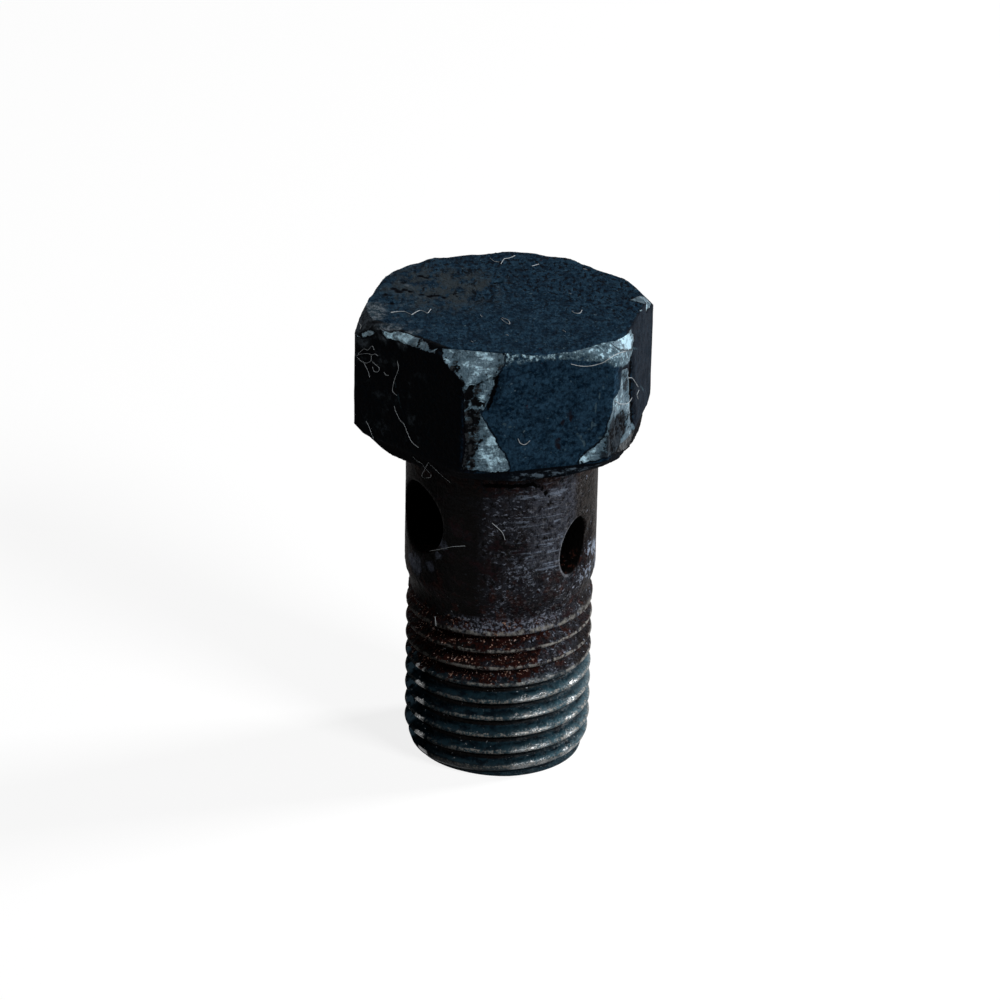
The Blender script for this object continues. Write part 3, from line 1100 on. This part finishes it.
def laid_path(corners, tree, seed):
    """The fibre's path on the bolt's skin where the view shows it, bridging what falls back behind an edge."""
    place, side, over, forward = view_frame()
    centre = view_width / 2
    rays, depths = [], []
    for index, spot in enumerate(curve_through(corners, 5)):
        ray = (forward * view_focus + side * (spot.x - centre) + over * (centre - spot.y)).normalized()
        hit = tree.ray_cast(place * mm, ray)[0]
        if hit is not None:
            rays.append(ray)
            sway = fibre_sway * grain(Vector((index * 0.3, seed, 0)), 1, 3)
            depths.append((hit / mm - place).length - fibre_lift - sway)
    for order in (range(1, len(depths)), range(len(depths) - 1, 0, -1)):
        for index in order:
            nearer, other = (index, index - 1) if order.step > 0 else (index - 1, index)
            depths[nearer] = min(depths[nearer], depths[other] + longest_step)
    return [place + ray * depth for ray, depth in zip(rays, depths)]


def fibre(bm, path, thickness):
    """Thin tube along a path, with closed ends."""
    ring = None
    for index, point in enumerate(path):
        along = (path[min(index + 1, len(path) - 1)] - path[max(index - 1, 0)]).normalized()
        lie = Matrix.Translation(point) @ along.to_track_quat("Z", "Y").to_matrix().to_4x4()
        if ring is None:
            verts = bmesh.ops.create_circle(bm, segments=5, radius=thickness, cap_ends=True, matrix=lie)["verts"]
            ring = list({edge for vert in verts for edge in vert.link_edges})
            start = lie
            continue
        made = bmesh.ops.extrude_edge_only(bm, edges=ring)["geom"]
        ring = only(bmesh.types.BMEdge, made)
        bmesh.ops.transform(bm, matrix=lie @ start.inverted(), verts=only(bmesh.types.BMVert, made))
        start = lie
    bmesh.ops.holes_fill(bm, edges=ring, sides=0)


# ------------------------------------------------------------------------------------------ operators

def dressed(piece, material):
    piece.data.materials.append(material)
    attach(piece, "root")
    return piece


class BANJO_OT_bolt(bpy.types.Operator):
    """Build the bolt: painted head, shank, thread, bore and cross holes"""
    bl_idname = "banjo.bolt"
    bl_label = "Bolt"

    def execute(self, context):
        piece = mesh_object("worn_bolt", worn_bolt(context.scene.banjo_sizes))
        dressed(piece, bolt_material(context.scene.banjo_colours))
        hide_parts("banjo_bolt")
        return {"FINISHED"}


class BANJO_OT_lint(bpy.types.Operator):
    """Lay the fibres of lint on the bolt"""
    bl_idname = "banjo.lint"
    bl_label = "Lint"

    def execute(self, context):
        bolt = bmesh.new()
        bolt.from_mesh(bpy.data.objects["worn_bolt"].data)
        tree = BVHTree.FromBMesh(bolt)
        bolt.free()
        bm = bmesh.new()
        for seed, corners in enumerate(path for area in fibres.values() for path in area):
            fibre(bm, laid_path(corners, tree, seed * 1.3), context.scene.banjo_sizes.lint_thickness / mm / 2)
        bmesh.ops.recalc_face_normals(bm, faces=bm.faces)
        bmesh.ops.scale(bm, vec=(mm, mm, mm), verts=bm.verts)
        dressed(mesh_object("lint_fibres", bm), plain_material("lint", context.scene.banjo_colours.lint, 0.7))
        return {"FINISHED"}


def seen(tree):
    """1 for what the camera sees, mirrored or through glass too, and 0 for the light that bounces."""
    camera, glossy, clear = (from_node(tree, "ShaderNodeLightPath", output=f"Is {ray} Ray")
                             for ray in ("Camera", "Glossy", "Transmission"))
    return camera | glossy | clear


def floor_material():
    """White to the eye and in reflections, with the bolt's shadow on it, and dark to the light that bounces."""
    s = Surface("floor")
    return s.shade({"Base Color": seen(s.tree).blend((0.03, 0.03, 0.03), (0.18, 0.18, 0.18)),
                    "Specular IOR Level": 0.0, "Roughness": 1.0, "Emission Color": (1.0, 1.0, 1.0),
                    "Emission Strength": seen(s.tree) * 0.84})


def white_surroundings(diffuse_strength):
    """World that is white to the eye and in reflections, and dim as light."""
    world = bpy.data.worlds.new("surroundings")
    world.use_nodes = True
    tree = world.node_tree
    inputs = {"Value": seen(tree), "To Min": diffuse_strength, "To Max": 1.0}
    strength = from_node(tree, "ShaderNodeMapRange", inputs, "Result")
    put(tree, tree.nodes["Background"].inputs["Color"], (1, 1, 1))
    put(tree, tree.nodes["Background"].inputs["Strength"], strength)
    return world


lamp_places = {"front": (-42, 30), "right": (20, 25), "left": (158, 22)}  # degrees round and above the bolt
lamp_aim = 0.015


def area_lamp(name, direction, elevation, distance, size, irradiance):
    """Square lamp facing the bolt that lights a surface facing it with this irradiance."""
    lamp = bpy.data.lights.new(name, "AREA")
    lamp.size = size
    lamp.energy = irradiance * distance ** 2 * pi
    place = Vector((cos(elevation) * cos(direction), cos(elevation) * sin(direction), sin(elevation))) * distance
    holder = bpy.data.objects.new(name, lamp)
    holder.location = place + Vector((0, 0, lamp_aim))
    holder.rotation_euler = place.to_track_quat("Z", "Y").to_euler()
    bpy.context.scene.collection.objects.link(holder)


class BANJO_OT_stage(bpy.types.Operator):
    """Set the floor, the surroundings, the lamps and the camera"""
    bl_idname = "banjo.stage"
    bl_label = "Stage"

    def execute(self, context):
        stage = context.scene.banjo_stage
        bm = bmesh.new()
        bmesh.ops.create_grid(bm, x_segments=2, y_segments=2, size=1.5)
        floor = mesh_object("floor", bm)
        floor.data.materials.append(floor_material())
        context.scene.world = white_surroundings(stage.ambient)
        for side, (direction, elevation) in lamp_places.items():
            area_lamp(f"{side} lamp", radians(direction), radians(elevation), stage.lamp_distance,
                      getattr(stage, f"{side}_size"), getattr(stage, f"{side}_light"))
        place, right, over, forward = view_frame()
        lens = bpy.data.cameras.new("camera")
        camera = bpy.data.objects.new("camera", lens)
        context.scene.collection.objects.link(camera)
        lens.sensor_width = 36
        lens.lens = view_focus * lens.sensor_width / view_width
        lens.clip_start, lens.clip_end = 0.01, 10
        turn = Matrix((right, over, -forward)).transposed()
        camera.matrix_world = Matrix.Translation(place * mm) @ turn.to_4x4()
        context.scene.camera = camera
        context.scene.view_settings.view_transform = "Standard"
        return {"FINISHED"}


class BANJO_PT_panel(bpy.types.Panel):
    """Buttons and settings of the banjo bolt"""
    bl_label = "Banjo Bolt"
    bl_idname = "BANJO_PT_panel"
    bl_space_type = "VIEW_3D"
    bl_region_type = "UI"
    bl_category = "Banjo Bolt"

    def draw(self, context):
        for operator in ("banjo.bolt", "banjo.lint", "banjo.stage"):
            self.layout.operator(operator)
        for group in (context.scene.banjo_sizes, context.scene.banjo_colours, context.scene.banjo_stage):
            box = self.layout.box()
            for name in group.bl_rna.properties.keys():
                if name not in ("rna_type", "name"):
                    box.prop(group, name)


classes = (BoltSizes, FinishColours, StageLight, BANJO_OT_bolt, BANJO_OT_lint, BANJO_OT_stage, BANJO_PT_panel)


def register():
    for cls in classes:
        bpy.utils.register_class(cls)
    bpy.types.Scene.banjo_sizes = PointerProperty(type=BoltSizes)
    bpy.types.Scene.banjo_colours = PointerProperty(type=FinishColours)
    bpy.types.Scene.banjo_stage = PointerProperty(type=StageLight)


def unregister():
    del bpy.types.Scene.banjo_stage
    del bpy.types.Scene.banjo_colours
    del bpy.types.Scene.banjo_sizes
    for cls in reversed(classes):
        bpy.utils.unregister_class(cls)


def main():
    register()
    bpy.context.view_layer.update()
    bpy.ops.banjo.bolt()
    bpy.ops.banjo.lint()
    bpy.ops.banjo.stage()


if __name__ == "__main__":
    main()
